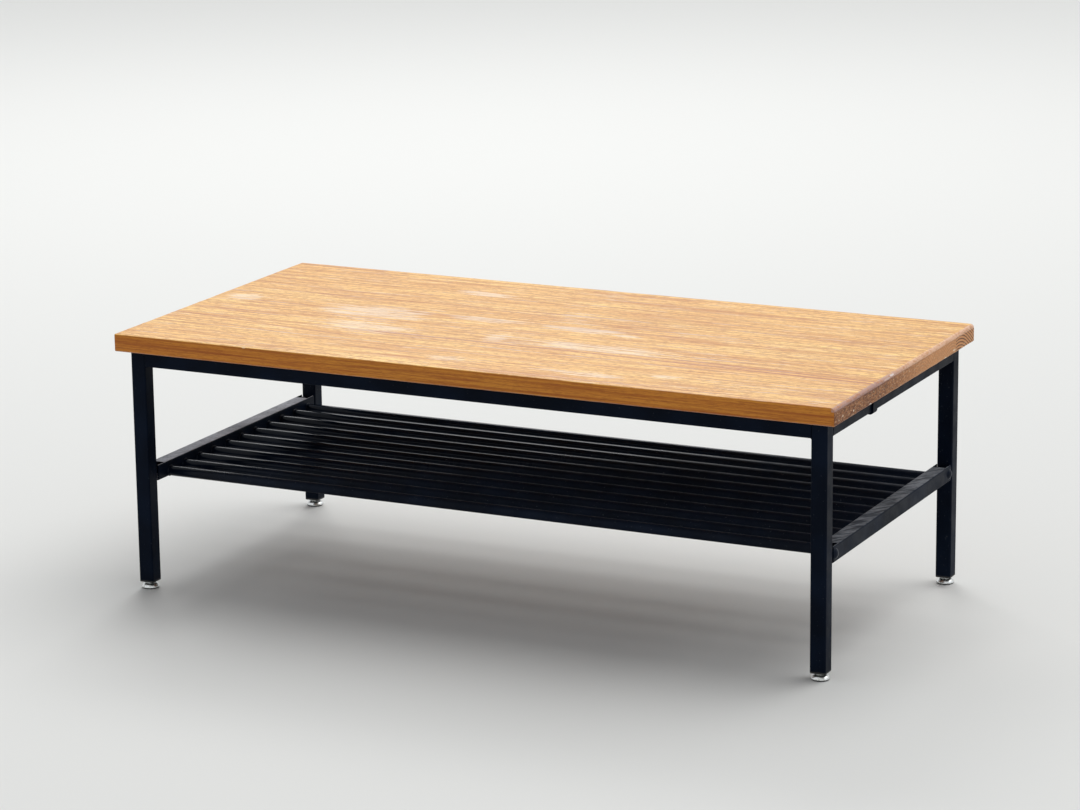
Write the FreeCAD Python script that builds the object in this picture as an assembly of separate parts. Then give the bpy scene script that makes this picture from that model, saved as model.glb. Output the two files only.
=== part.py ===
import FreeCAD, Part
import math
import os
from FreeCAD import Vector

# Coffee table: a top of edge-glued boards on a welded frame of square steel tube,
# with a bolted shelf of round tubes and a screw-in levelling foot under each leg.
# Sizes are in millimetres. +X runs along the table, +Y to its back and +Z up.
# The origin is on the floor, under the middle of the top.

# Whole table
table_length = 1200.0
table_width = 590.0
table_height = 415.0

# Top
top_thickness = 28.0
top_edge_radius = 2.5
top_overhang = 18.0
board_count = 7

# Square tube of the frame and of the shelf's two ends
tube_size = 25.0
tube_wall = 2.0
tube_corner_radius = 2.5
tube_inner_radius = 0.8

# Shelf: how high it hangs and how its round tubes are spaced
shelf_height = 172.0
shelf_end_gap = 4.0
rod_count = 11
rod_diameter = 16.0
rod_wall = 1.5
rod_pitch = 44.0
rod_row_shift = 7.0

# Shelf joints: a tab on each leg reaches into the open end of a shelf tube
tab_thickness = 4.0
tab_height = 17.0
tab_length = 24.0
tab_corner_radius = 4.0
notch_length = 20.0
bolt_from_leg = 12.0

# Coach bolts with nuts, through the shelf tubes and the tabs
bolt_diameter = 6.0
bolt_length = 16.0
bolt_head_diameter = 16.5
bolt_head_height = 3.9
bolt_clearance = 0.3
nut_across_flats = 10.0
nut_height = 5.0
thread_clearance = 0.1

# Tabs welded inside the long rails, which hold the top down
top_tab_width = 30.0
top_tab_reach = 25.0
top_tab_thickness = 3.0
top_tab_corner_radius = 6.0
top_tab_from_centre = 330.0

# Straps round the two end rails, which also hold the top down
strap_width = 16.0
strap_thickness = 3.0
strap_flange = 26.0
strap_from_centre = 93.5

# Wood screws up into the top
screw_diameter = 4.5
screw_length = 20.0
screw_tip_length = 5.0
screw_head_diameter = 9.0
screw_head_height = 3.0
screw_clearance = 0.4

# Threaded plastic inserts that close the legs
insert_flange = 3.0
insert_length = 25.0
insert_clearance = 0.2
insert_edge_radius = 0.8

# Levelling feet: a stud that turns in a metal cup with a plastic pad
stud_diameter = 8.0
stud_reach = 27.0
stud_tip_chamfer = 1.0
hex_across_flats = 13.0
hex_height = 2.7
collar_diameter = 11.0
collar_height = 1.6
foot_play = 0.3
seat_gap = 0.15
cup_top = 8.0
cup_wall = 1.2
cup_crown_radius = 8.0
cup_shoulder_height = 4.4
cup_shoulder_inset = 1.0
cup_rim_radius = 14.0
cup_rim_bottom = 1.8
cup_rim_band = 1.4
pad_edge_chamfer = 0.8
pad_clearance = 0.15

# How far every cutting shape runs past what it cuts
overrun = 1.0

# Places that follow from the sizes above
top_underside = table_height - top_thickness
frame_half_length = table_length / 2 - top_overhang
frame_half_width = table_width / 2 - top_overhang
leg_centre_x = frame_half_length - tube_size / 2
leg_centre_y = frame_half_width - tube_size / 2
inner_half_length = frame_half_length - tube_size
inner_half_width = frame_half_width - tube_size
rail_centre_z = top_underside - tube_size / 2
hex_underside = cup_top + seat_gap
insert_underside = hex_underside + hex_height + seat_gap
leg_underside = insert_underside + insert_flange
shelf_tube_centre_z = shelf_height + tube_size / 2
rod_centre_z = shelf_height + rod_diameter / 2
bolt_y = inner_half_width - bolt_from_leg
plate_hole_diameter = screw_diameter + 2 * screw_clearance
pilot_hole_diameter = screw_diameter + 2 * thread_clearance
bolt_hole_diameter = bolt_diameter + 2 * bolt_clearance

X_AXIS = Vector(1, 0, 0)
Y_AXIS = Vector(0, 1, 0)
Z_AXIS = Vector(0, 0, 1)
ORIGIN = Vector(0, 0, 0)
CORNERS = {
    "front_left": (-1, -1),
    "front_right": (1, -1),
    "rear_left": (-1, 1),
    "rear_right": (1, 1),
}


def moved(shape, x=0, y=0, z=0):
    copy = shape.copy()
    copy.translate(Vector(x, y, z))
    return copy


def turned(shape, axis, degrees):
    copy = shape.copy()
    copy.rotate(ORIGIN, axis, degrees)
    return copy


def block(x0, x1, y0, y1, z0, z1):
    return Part.makeBox(x1 - x0, y1 - y0, z1 - z0, Vector(x0, y0, z0))


def at_corner(shape, sign_x, sign_y):
    """Mirrors a piece of the rear right corner to the corner with these signs."""
    if sign_x < 0:
        shape = shape.mirror(ORIGIN, X_AXIS)
    if sign_y < 0:
        shape = shape.mirror(ORIGIN, Y_AXIS)
    return shape


def edges_along(block_shape, axis):
    """The edges of a block that run along an axis."""
    return [e for e in block_shape.Edges if round(abs(e.tangentAt(e.FirstParameter).dot(axis)))]


def rounded_bar(size, length, radius):
    """A square bar standing on z = 0, centred on +Z, with rounded corners."""
    bar = block(-size / 2, size / 2, -size / 2, size / 2, 0, length)
    return bar.makeFillet(radius, edges_along(bar, Z_AXIS))


def square_tube(length):
    """Square tube standing on z = 0, centred on +Z."""
    hollow_size = tube_size - 2 * tube_wall
    hollow = rounded_bar(hollow_size, length + 2 * overrun, tube_inner_radius)
    return rounded_bar(tube_size, length, tube_corner_radius).cut(moved(hollow, z=-overrun))


def cylinder(diameter, z0, z1):
    return Part.makeCylinder(diameter / 2, z1 - z0, Vector(0, 0, z0))


def hexagon(across_flats, z0, z1):
    """A hexagonal bar on +Z, with two of its flats across Y."""
    radius = across_flats / 2 / math.cos(math.radians(30))
    angles = [math.radians(60 * i) for i in range(7)]
    ring = [Vector(radius * math.cos(a), radius * math.sin(a), z0) for a in angles]
    return Part.Face(Part.makePolygon(ring)).extrude(Vector(0, 0, z1 - z0))


def lathe(outline):
    """Turns an outline of (radius, z) points about +Z."""
    points = [Vector(r, 0, z) for r, z in outline]
    return Part.Face(Part.makePolygon(points + points[:1])).revolve(ORIGIN, Z_AXIS, 360)


def along_y(shape, centre_x, start_y, centre_z):
    """Lays a +Z shape along +Y, starting at start_y."""
    return moved(turned(shape, X_AXIS, -90), centre_x, start_y, centre_z)


def along_x(shape, start_x, centre_y, centre_z):
    """Lays a +Z shape along +X, starting at start_x."""
    return moved(turned(shape, Y_AXIS, 90), start_x, centre_y, centre_z)


# Frame

def leg(sign_x, sign_y):
    tube = square_tube(top_underside - leg_underside)
    return moved(tube, sign_x * leg_centre_x, sign_y * leg_centre_y, leg_underside)


def long_rail(sign_y):
    tube = square_tube(2 * inner_half_length)
    return along_x(tube, -inner_half_length, sign_y * leg_centre_y, rail_centre_z)


def end_rail(sign_x):
    tube = square_tube(2 * inner_half_width)
    return along_y(tube, sign_x * leg_centre_x, -inner_half_width, rail_centre_z)


# Fixings of the top

def top_tab_places():
    """Centres of the screw holes in the top tabs."""
    y = inner_half_width - top_tab_reach / 2
    return [(sx * top_tab_from_centre, sy * y) for sx, sy in CORNERS.values()]


def strap_hole_places():
    """Centres of the screw holes in the straps' flanges."""
    x = inner_half_length - strap_thickness - strap_flange / 2
    return [(sign * x, -sign * strap_from_centre) for sign in (1, -1)]


def top_tab():
    """A flat tab welded to the rear rail's inner face, level with its upper face."""
    x, root = top_tab_from_centre, inner_half_width
    middle, tip = root - top_tab_reach / 2, root - top_tab_reach
    low = top_underside - top_tab_thickness
    plate = block(x - top_tab_width / 2, x + top_tab_width / 2, tip, root, low, top_underside)
    tip_edges = [e for e in edges_along(plate, Z_AXIS) if e.CenterOfMass.y < middle]
    plate = plate.makeFillet(top_tab_corner_radius, tip_edges)
    hole = cylinder(plate_hole_diameter, low - overrun, top_underside + overrun)
    return plate.cut(moved(hole, x, middle))


def strap():
    """A flat bar bent round the right end rail, with a flange under the top."""
    wrap = rounded_bar(tube_size + 2 * strap_thickness, strap_width, tube_corner_radius + strap_thickness)
    rail = rounded_bar(tube_size, strap_width + 2 * overrun, tube_corner_radius)
    wrap = wrap.cut(moved(rail, z=-overrun))
    near, far = -strap_from_centre - strap_width / 2, -strap_from_centre + strap_width / 2
    wrap = along_y(wrap, leg_centre_x, near, rail_centre_z)
    wrap = wrap.common(block(0, table_length, near, far, 0, top_underside))
    root = inner_half_length
    tip = root - strap_thickness - strap_flange
    low = top_underside - strap_thickness
    flange = block(tip, root, near, far, low, top_underside)
    hole = cylinder(plate_hole_diameter, low - overrun, top_underside + overrun)
    hole = moved(hole, tip + strap_flange / 2, -strap_from_centre)
    return wrap.fuse(flange).removeSplitter().cut(hole)


def wood_screw(plate_thickness):
    """A pan-head screw whose plate has its upper face at z = 0, point up."""
    head, shank = screw_head_diameter / 2, screw_diameter / 2
    seat = -plate_thickness
    tip = seat + screw_length
    return lathe([(0, seat - screw_head_height), (head - screw_head_height / 2, seat - screw_head_height),
                  (head, seat - screw_head_height / 2), (head, seat), (shank, seat),
                  (shank, tip - screw_tip_length), (0, tip)])


def wood_screws(places, plate_thickness):
    screw = wood_screw(plate_thickness)
    return Part.makeCompound([moved(screw, x, y, top_underside) for x, y in places])


# Top

def top_boards():
    """The whole top with its screw holes, then cut into its boards, front to back."""
    half_length, half_width = table_length / 2, table_width / 2
    panel = block(-half_length, half_length, -half_width, half_width, top_underside, table_height)
    panel = panel.makeFillet(top_edge_radius, panel.Edges)
    for places, plate in ((top_tab_places(), top_tab_thickness), (strap_hole_places(), strap_thickness)):
        depth = screw_length - plate + screw_clearance
        for x, y in places:
            pilot = cylinder(pilot_hole_diameter, -overrun, depth)
            panel = panel.cut(moved(pilot, x, y, top_underside))
    board_width = table_width / board_count
    boards = []
    for i in range(board_count):
        near = -half_width + i * board_width
        strip = block(-table_length, table_length, near, near + board_width, 0, 2 * table_height)
        boards.append(panel.common(strip))
    return boards


# Shelf

def shelf_tube():
    """The right end tube of the shelf: open ends, notched from above and drilled for bolts."""
    half = inner_half_width - shelf_end_gap
    tube = along_y(square_tube(2 * half), leg_centre_x, -half, shelf_tube_centre_z)
    roof = shelf_height + tube_size
    wall_x = [leg_centre_x + side * (tube_size / 2 - tube_wall) for side in (-1, 1)]
    notch = block(*wall_x, half - notch_length, half + overrun, roof - tube_wall - overrun, roof + overrun)
    hole = along_x(cylinder(bolt_hole_diameter, 0, tube_size), leg_centre_x, bolt_y, shelf_tube_centre_z)
    for side in (-1, 1):
        tube = tube.cut([at_corner(notch, 1, side), at_corner(hole, 1, side)])
    return tube


def shelf_rod(index):
    """A round tube between the two end tubes, its underside level with theirs."""
    length = 2 * inner_half_length
    y = rod_row_shift + (index - (rod_count - 1) / 2) * rod_pitch
    bore = cylinder(rod_diameter - 2 * rod_wall, -overrun, length + overrun)
    return along_x(cylinder(rod_diameter, 0, length).cut(bore), -inner_half_length, y, rod_centre_z)


def shelf_tab():
    """A flat tab welded to the rear right leg, inside the shelf tube on its outer wall."""
    outer = frame_half_length - tube_wall
    inner = outer - tab_thickness
    root, tip = inner_half_width, inner_half_width - tab_length
    low, high = shelf_tube_centre_z - tab_height / 2, shelf_tube_centre_z + tab_height / 2
    plate = block(inner, outer, tip, root, low, high)
    tip_edges = [e for e in edges_along(plate, X_AXIS) if e.CenterOfMass.y < root - tab_length / 2]
    plate = plate.makeFillet(tab_corner_radius, tip_edges)
    hole = cylinder(bolt_hole_diameter, -overrun, tab_thickness + overrun)
    return plate.cut(along_x(hole, inner, bolt_y, shelf_tube_centre_z))


def coach_bolt():
    """A domed bolt: the head's flat side is on z = 0 and the shank goes down from it."""
    radius = bolt_head_diameter / 2
    sphere_radius = (radius ** 2 + bolt_head_height ** 2) / (2 * bolt_head_height)
    latitude = math.degrees(math.asin((sphere_radius - bolt_head_height) / sphere_radius))
    centre = Vector(0, 0, bolt_head_height - sphere_radius)
    dome = Part.makeSphere(sphere_radius, centre, Z_AXIS, latitude, 90, 360)
    return dome.fuse(cylinder(bolt_diameter, -bolt_length, 0))


def bolt_nut():
    """The nut of a coach bolt, seated on the inner face of its tab."""
    seat = -tube_wall - tab_thickness
    bore = cylinder(bolt_diameter + 2 * thread_clearance, seat - nut_height - overrun, seat + overrun)
    return hexagon(nut_across_flats, seat - nut_height, seat).cut(bore)


def at_shelf_joints(piece):
    """Sets a piece at the four shelf joints, its +Z pointing out of the table's ends."""
    copies = []
    for sign_x, sign_y in CORNERS.values():
        copy = turned(piece, Y_AXIS, sign_x * 90)
        copies.append(moved(copy, sign_x * frame_half_length, sign_y * bolt_y, shelf_tube_centre_z))
    return Part.makeCompound(copies)


# Feet

def leg_insert():
    """A square plug with a flange that closes the tube and a threaded hole through both."""
    plug_size = tube_size - 2 * tube_wall - 2 * insert_clearance
    flange = rounded_bar(tube_size, insert_flange, tube_corner_radius)
    rim = [e for e in flange.Edges if e.CenterOfMass.z < insert_flange / 4]
    flange = flange.makeChamfer(insert_edge_radius, rim)
    plug = rounded_bar(plug_size, insert_flange + insert_length, insert_edge_radius)
    bore = cylinder(stud_diameter + 2 * thread_clearance, -overrun, insert_flange + insert_length + overrun)
    return moved(flange.fuse(plug).cut(bore), z=insert_underside)


def foot_stud():
    """Threaded stud, spanner hexagon, neck through the cup and collar that keeps it there."""
    neck, collar = stud_diameter / 2, collar_diameter / 2
    collar_top = cup_top - cup_wall - foot_play
    collar_bottom = collar_top - collar_height
    tip = insert_underside + stud_reach
    shaft = lathe([(0, collar_bottom), (collar, collar_bottom), (collar, collar_top), (neck, collar_top),
                   (neck, tip - stud_tip_chamfer), (neck - stud_tip_chamfer, tip), (0, tip)])
    return shaft.fuse(hexagon(hex_across_flats, hex_underside, hex_underside + hex_height))


def inside_of_cup(clearance):
    """The (radius, z) points under a foot cup, rim to crown, less a clearance."""
    rim = (cup_rim_radius - cup_wall, cup_rim_bottom + cup_rim_band)
    shoulder = (cup_rim_radius - cup_shoulder_inset - cup_wall, cup_shoulder_height - cup_wall / 2)
    crown = (cup_crown_radius, cup_top - cup_wall)
    return [(r - clearance, z - clearance) for r, z in (rim, shoulder, crown)]


def foot_cup():
    """A pressed metal dish: flat crown, sloping shoulder and a short upright rim."""
    hole = stud_diameter / 2 + foot_play
    outside = [(hole, cup_top), (cup_crown_radius, cup_top),
               (cup_rim_radius - cup_shoulder_inset, cup_shoulder_height),
               (cup_rim_radius, cup_rim_bottom + cup_rim_band), (cup_rim_radius, cup_rim_bottom)]
    inside = inside_of_cup(0)
    return lathe(outside + [(inside[0][0], cup_rim_bottom)] + inside + [(hole, cup_top - cup_wall)])


def foot_pad():
    """The plastic pad inside the cup, with a recess for the stud's collar."""
    outside = inside_of_cup(pad_clearance)
    radius, top = outside[0][0], outside[-1][1]
    recess = collar_diameter / 2 + foot_play
    recess_floor = cup_top - cup_wall - collar_height - 2 * foot_play
    return lathe([(0, 0), (radius - pad_edge_chamfer, 0), (radius, pad_edge_chamfer)] + outside
                 + [(recess, top), (recess, recess_floor), (0, recess_floor)])


def build():
    parts = {}
    for i, board in enumerate(top_boards()):
        parts["top_board_%d" % (i + 1)] = board
    for name, sign_y in (("front", -1), ("rear", 1)):
        parts["rail_" + name] = long_rail(sign_y)
    for name, sign_x in (("left", -1), ("right", 1)):
        parts["rail_" + name] = end_rail(sign_x)
        parts["top_strap_" + name] = strap() if sign_x > 0 else turned(strap(), Z_AXIS, 180)
        parts["shelf_tube_" + name] = at_corner(shelf_tube(), sign_x, 1)
    foot = {"leg_insert": leg_insert, "foot_stud": foot_stud, "foot_cup": foot_cup, "foot_pad": foot_pad}
    for name, (sign_x, sign_y) in CORNERS.items():
        parts["leg_" + name] = leg(sign_x, sign_y)
        parts["top_tab_" + name] = at_corner(top_tab(), sign_x, sign_y)
        parts["shelf_tab_" + name] = at_corner(shelf_tab(), sign_x, sign_y)
        for piece, make in foot.items():
            parts[piece + "_" + name] = moved(make(), sign_x * leg_centre_x, sign_y * leg_centre_y)
    for i in range(rod_count):
        parts["shelf_rod_%02d" % (i + 1)] = shelf_rod(i)
    parts["shelf_bolts"] = at_shelf_joints(coach_bolt())
    parts["shelf_nuts"] = at_shelf_joints(bolt_nut())
    parts["top_tab_screws"] = wood_screws(top_tab_places(), top_tab_thickness)
    parts["top_strap_screws"] = wood_screws(strap_hole_places(), strap_thickness)
    return parts


os.makedirs("parts", exist_ok=True)
for name, shape in build().items():
    shape.exportStep("parts/" + name + ".step")
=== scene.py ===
import math
import bpy
from mathutils import Euler, Matrix, Vector


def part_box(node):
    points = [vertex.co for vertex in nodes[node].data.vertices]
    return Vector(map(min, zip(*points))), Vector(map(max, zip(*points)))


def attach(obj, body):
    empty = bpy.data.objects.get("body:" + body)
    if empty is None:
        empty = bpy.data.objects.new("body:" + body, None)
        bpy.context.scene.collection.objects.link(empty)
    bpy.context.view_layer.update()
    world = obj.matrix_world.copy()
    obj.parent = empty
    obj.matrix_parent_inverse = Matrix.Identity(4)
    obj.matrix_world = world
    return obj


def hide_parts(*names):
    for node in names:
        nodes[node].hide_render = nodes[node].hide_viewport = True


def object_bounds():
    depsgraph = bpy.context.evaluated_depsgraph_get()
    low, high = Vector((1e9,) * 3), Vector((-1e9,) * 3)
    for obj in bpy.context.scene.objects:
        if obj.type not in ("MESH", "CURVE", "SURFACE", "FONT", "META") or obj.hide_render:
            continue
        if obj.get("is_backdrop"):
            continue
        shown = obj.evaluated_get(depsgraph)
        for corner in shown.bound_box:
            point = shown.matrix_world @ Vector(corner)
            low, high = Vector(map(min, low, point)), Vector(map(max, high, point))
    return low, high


# A low coffee table: a glued oak top on a welded frame of square tube, with a bolted shelf of
# round tubes under it and a levelling foot in each leg. Everything is in metres.
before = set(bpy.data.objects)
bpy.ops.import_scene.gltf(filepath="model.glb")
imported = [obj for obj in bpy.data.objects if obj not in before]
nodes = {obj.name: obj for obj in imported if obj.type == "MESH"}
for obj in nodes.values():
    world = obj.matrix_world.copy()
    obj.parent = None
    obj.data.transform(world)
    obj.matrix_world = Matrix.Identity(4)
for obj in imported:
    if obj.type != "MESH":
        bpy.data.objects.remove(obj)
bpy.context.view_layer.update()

# The top
# Seven solid oak boards, glued edge to edge, planed flat and rounded over along the slab's outer
# edges. They are stained honey brown under thin varnish, and sun and wet have worn the face pale.

mm = 0.001
board_names = ["top_board_%d" % number for number in range(1, 8)]
slab_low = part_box(board_names[0])[0]
slab_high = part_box(board_names[-1])[1]
slab_middle_z = (slab_low.z + slab_high.z) / 2
board_width = (slab_high.y - slab_low.y) / len(board_names)
round_over = 2.0 * mm
worn_round = 6.5 * mm
wear_depth = 0.5 * mm
wear_size = 32 * mm
cuts_along = 150
cuts_across = 10

# The heart that each board's growth rings go round: its share of the board's width from the
# middle, its height over the middle of the slab, how much the log leant from the saw, how wide a
# ring is, and how plainly the rings show on the sawn ends
hearts = ((-0.2, -48 * mm, 0.012, 5 * mm, 0.12), (0.25, -62 * mm, -0.018, 5 * mm, 0.10),
          (-0.35, -40 * mm, 0.010, 5 * mm, 0.12), (0.1, -70 * mm, 0.02, 5 * mm, 0.15),
          (-0.1, -36 * mm, -0.012, 5 * mm, 0.18), (0.3, -55 * mm, 0.015, 5 * mm, 0.25),
          (-0.25, -56 * mm, 0.003, 4.8 * mm, 0.95))
ring_drift = 22 * mm

# What each noise draws: its length along the grain, its width and its height, in mm, and its
# detail. Pores are really 0.3 mm wide, and are drawn coarser so that they show.
grain_sizes = {"bend": (550, 110, 110, 1), "streak": (520, 7.5, 7.5, 4), "line": (300, 4, 4, 3),
               "cloud": (380, 55, 55, 2), "fibre": (130, 3.4, 3.0, 2), "pore": (12, 4, 1.6, 2),
               "rag": (60, 4, 4, 5), "haze": (120, 40, 40, 4), "grit": (3.2, 4.5, 1.8, 1),
               "dirt": (8, 9, 3.5, 4)}

# Stains over the bare wood: which pattern, between which of its values, how strong and what colour
stains = (("cloud", 0.35, 0.70, 0.50, "#FFDA84"), ("ring", 0.30, 1.00, 0.45, "#DC9A40"),
          ("streak", 0.50, 0.60, 0.62, "#CA8030"), ("line", 0.53, 0.60, 0.84, "#B66E2A"),
          ("fibre", 0.51, 0.60, 0.64, "#BE7830"), ("pore", 0.48, 0.60, 0.50, "#AC6826"))

# Long dark lines of heartwood: where each starts and ends on the face, its half width, all in mm,
# and its depth. They waver a little, and fade in and out at their ends.
dark_lines = (((-260, -119), (215, -121), 6.0, 0.90), ((-260, -134), (60, -133), 5.0, 0.60),
              ((190, -123), (640, -139), 5.0, 0.95), ((225, -107), (640, -127), 4.0, 0.90),
              ((-590, -112), (-270, -160), 4.5, 0.65), ((-590, -148), (-340, -182), 3.5, 0.50),
              ((-590, -76), (-430, -60), 3.5, 0.45), ((-600, 100), (-430, 116), 4.5, 0.45),
              ((-230, 98), (0, 78), 4.5, 0.55), ((120, 206), (450, 222), 6.5, 0.55),
              ((280, 110), (540, 76), 5.0, 0.50), ((300, -190), (560, -222), 4.0, 0.40))
line_waver = 14 * mm
line_waver_size = 150 * mm
line_fade = 45 * mm

# Pale patches where the varnish has gone: centre, then half length and half width, all in mm
patches = ((-300, 0, 120, 56), (-265, -95, 110, 48), (-545, 22, 46, 32), (-110, 21, 78, 20),
           (-40, -85, 26, 34), (140, -88, 165, 30), (62, 16, 80, 24), (142, 2, 34, 14),
           (185, -246, 90, 20), (-52, -238, 46, 14), (305, -220, 40, 16), (-200, 190, 70, 18))

# A nick in the front arris, and chips and pits of the right end: board, centre and half sizes in
# mm, and the colour of the torn wood
chips = (("top_board_1", (-367, -295, 415), (3.2, 1.7, 1.5), "#F2D6A6"),
         ("top_board_1", (600, -220, 394.5), (0.8, 1.7, 1.3), "#F4E4CC"),
         ("top_board_1", (600, -262, 396.5), (0.8, 1.5, 1.5), "#EED8BC"),
         ("top_board_2", (600, -153, 387), (2.2, 4.6, 2.4), "#F0E4DA"),
         ("top_board_3", (599, -63, 412.5), (1.6, 7.0, 1.4), "#EADCD6"),
         ("top_board_3", (599.5, -84, 411), (1.2, 10.0, 1.1), "#D6BCB0"),
         ("top_board_3", (600, -85, 387), (0.9, 3.0, 1.1), "#E8CDB4"),
         ("top_board_6", (600, 165, 388.5), (1.0, 4.0, 1.2), "#F0D8BC"),
         ("top_board_6", (600, 204, 392.5), (0.8, 4.5, 1.3), "#EED4B4"))

# Colours of the oak: its worn face, the wood with no varnish and the haze on it, dark heartwood,
# the grey of painted shade on the underside, and the brown that the edges keep, deepened as painted shade
worn_face = "#FAC870"
unvarnished = "#FCE4BE"
patch_haze = "#FFF0DC"
heartwood = "#AC6240"
underside_painted_shade = "#6A635C"
edge_stain_and_shade = "#D09D2B"

# Colours of the sawn ends: clean wood, dirt from dark to rusty, arcs of the rings, grit, the line of
# painted shade under the big round, and the rubbed round, lightened as a painted highlight, at the
# front and at the back
end_clean = "#E6A56E"
end_dirt = "#5E4032"
end_rust = "#7E4620"
end_arcs = "#54301C"
end_grit = "#E0C4A0"
end_shade_line = "#74504A"
rubbed_and_lit_front = "#B8958C"
rubbed_and_lit_back = "#E8BEA0"


def linear(hex_code):
    """Linear colour of an sRGB hex value."""
    shares = [int(hex_code[i:i + 2], 16) / 255 for i in (1, 3, 5)]
    return [s / 12.92 if s <= 0.04045 else ((s + 0.055) / 1.055) ** 2.4 for s in shares] + [1.0]


def add(owner, kind, inputs=(), out=0, **settings):
    """Adds a node with its settings, feeds its inputs in order or by name, and gives one output."""
    tree = owner.node_tree
    node = tree.nodes.new("ShaderNode" + kind)
    for setting, value in settings.items():
        setattr(node, setting, value)
    for socket, value in inputs.items() if isinstance(inputs, dict) else enumerate(inputs):
        if isinstance(value, bpy.types.NodeSocket):
            tree.links.new(value, node.inputs[socket])
        else:
            node.inputs[socket].default_value = value
    return node.outputs[out] if node.outputs else None


def bare_material(name):
    """A material with no nodes yet."""
    material = bpy.data.materials.new(name)
    material.use_nodes = True
    material.node_tree.nodes.clear()
    return material


smooth = {"interpolation_type": "SMOOTHSTEP"}
colours = {"data_type": "RGBA", "out": 2}


def honey_oak(name):
    """Flat-sawn oak under satin varnish. The growth rings of each board draw long pointed streaks
    on its face and arcs on its sawn ends. The face is bleached, and the sides below it are a deeper
    brown, partly the stain they keep and partly painted shade. The underside is greyed as painted shade."""
    number = board_names.index(name)
    heart_share, heart_height, lean, ring_width, ring_depth = hearts[number]
    middle_y = slab_low.y + (number + 0.5) * board_width
    oak = bare_material("honey_stained_oak_%d" % (number + 1))
    place = add(oak, "TexCoord", out="Object")
    x, y, z = add(oak, "SeparateXYZ", [place]).node.outputs
    look = {}
    for grain, (length, width, height, detail) in grain_sizes.items():
        stretch = (1 / (length * mm), 1 / (width * mm), 1 / (height * mm))
        placed = {"Vector": place, "Location": (3.7 * number,) * 3, "Scale": stretch}
        placed = add(oak, "Mapping", placed)
        noise = {"Vector": placed, "Scale": 1.0, "Detail": detail, "Roughness": 0.6}
        look[grain] = add(oak, "TexNoise", noise)

    # Growth rings round the heart, which a long slow bend shifts sideways and in depth
    bend = [look["bend"], (0, ring_drift, ring_drift), place]
    bend = add(oak, "VectorMath", bend, operation="MULTIPLY_ADD")
    heart = (0, middle_y + heart_share * board_width, slab_middle_z + heart_height)
    about = {"Vector": bend, "Location": heart, "Rotation": (0, lean, lean), "Scale": (16, 1, 1)}
    about = add(oak, "Mapping", about, vector_type="TEXTURE")
    waves = {"Vector": about, "Scale": math.tau / (20 * ring_width), "Distortion": 2.0, "Detail": 3.0,
             "Detail Scale": 0.4}
    look["ring"] = add(oak, "TexWave", waves, out="Fac", wave_type="RINGS", rings_direction="X",
                       wave_profile="SAW")

    # Ragged patches and faint scuffs, where the varnish has gone, are bleached under the grain
    bare = 0.0
    for centre_x, centre_y, half_length, half_width in patches:
        if abs(centre_y * mm - middle_y) < half_width * mm + board_width / 2:
            inside = {"Vector": place, "Location": (centre_x * mm, centre_y * mm, slab_high.z),
                      "Scale": (half_length * mm, half_width * mm, 1.0)}
            inside = add(oak, "Mapping", inside, vector_type="TEXTURE")
            patch = add(oak, "TexGradient", [inside], out="Fac", gradient_type="SPHERICAL")
            patch = add(oak, "MapRange", [patch, 0.0, 0.6, 0.0, 1.0])
            bare = add(oak, "Math", [patch, bare], operation="MAXIMUM")
    ragged = add(oak, "Math", [look["rag"], look["line"]], operation="ADD")
    bare = add(oak, "Math", [ragged, 4.0, bare], operation="MULTIPLY_ADD")
    bare = add(oak, "MapRange", [bare, 4.2, 5.1, 0.0, 0.95], **smooth)
    scuffs = add(oak, "MapRange", [look["haze"], 0.52, 0.75, 0.0, 0.25], **smooth)
    bare = add(oak, "Math", [bare, scuffs], operation="MAXIMUM")
    on_face = add(oak, "MapRange", [z, slab_high.z - 1.2 * mm, slab_high.z - 0.3 * mm, 0.0, 1.0], **smooth)
    bare = add(oak, "Math", [bare, on_face], operation="MULTIPLY")
    wood = add(oak, "Mix", {0: bare, 6: linear(worn_face), 7: linear(unvarnished)}, **colours)

    # The stains, which lie more evenly on the slab's edges, and the dark lines of heartwood
    even = add(oak, "MapRange", [z, slab_high.z - 1.6 * mm, slab_high.z - 0.6 * mm, 0.6, 1.0], **smooth)
    for grain, low, high, depth, colour in stains:
        depth = add(oak, "Math", [even, depth], operation="MULTIPLY")
        share = add(oak, "MapRange", [look[grain], low, high, 0.0, depth], **smooth)
        wood = add(oak, "Mix", {0: share, 6: wood, 7: linear(colour)}, **colours)
    waver = add(oak, "TexNoise", {"Vector": place, "Scale": 1 / line_waver_size, "Detail": 2.0})
    waver = add(oak, "Math", [waver, line_waver, -line_waver / 2], operation="MULTIPLY_ADD")
    fading = add(oak, "MapRange", [look["haze"], 0.30, 0.55, 0.65, 1.0], **smooth)
    for (start_x, start_y), (end_x, end_y), half_width, depth in dark_lines:
        if min(abs(line_y * mm - middle_y) for line_y in (start_y, end_y)) < board_width:
            line_y = add(oak, "MapRange", [x, start_x * mm, end_x * mm, start_y * mm, end_y * mm])
            line_y = add(oak, "Math", [line_y, waver], operation="ADD")
            away = add(oak, "Math", [y, line_y], operation="SUBTRACT")
            away = add(oak, "Math", [away], operation="ABSOLUTE")
            share = add(oak, "MapRange", [away, 0.0, half_width * mm, depth, 0.0], **smooth)
            for tip, there, past in ((start_x * mm, 0.0, 1.0), (end_x * mm, 1.0, 0.0)):
                fade = add(oak, "MapRange", [x, tip - line_fade, tip + line_fade, there, past], **smooth)
                share = add(oak, "Math", [share, fade], operation="MULTIPLY")
            share = add(oak, "Math", [share, fading], operation="MULTIPLY")
            wood = add(oak, "Mix", {0: share, 6: wood, 7: linear(heartwood)}, **colours)
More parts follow.
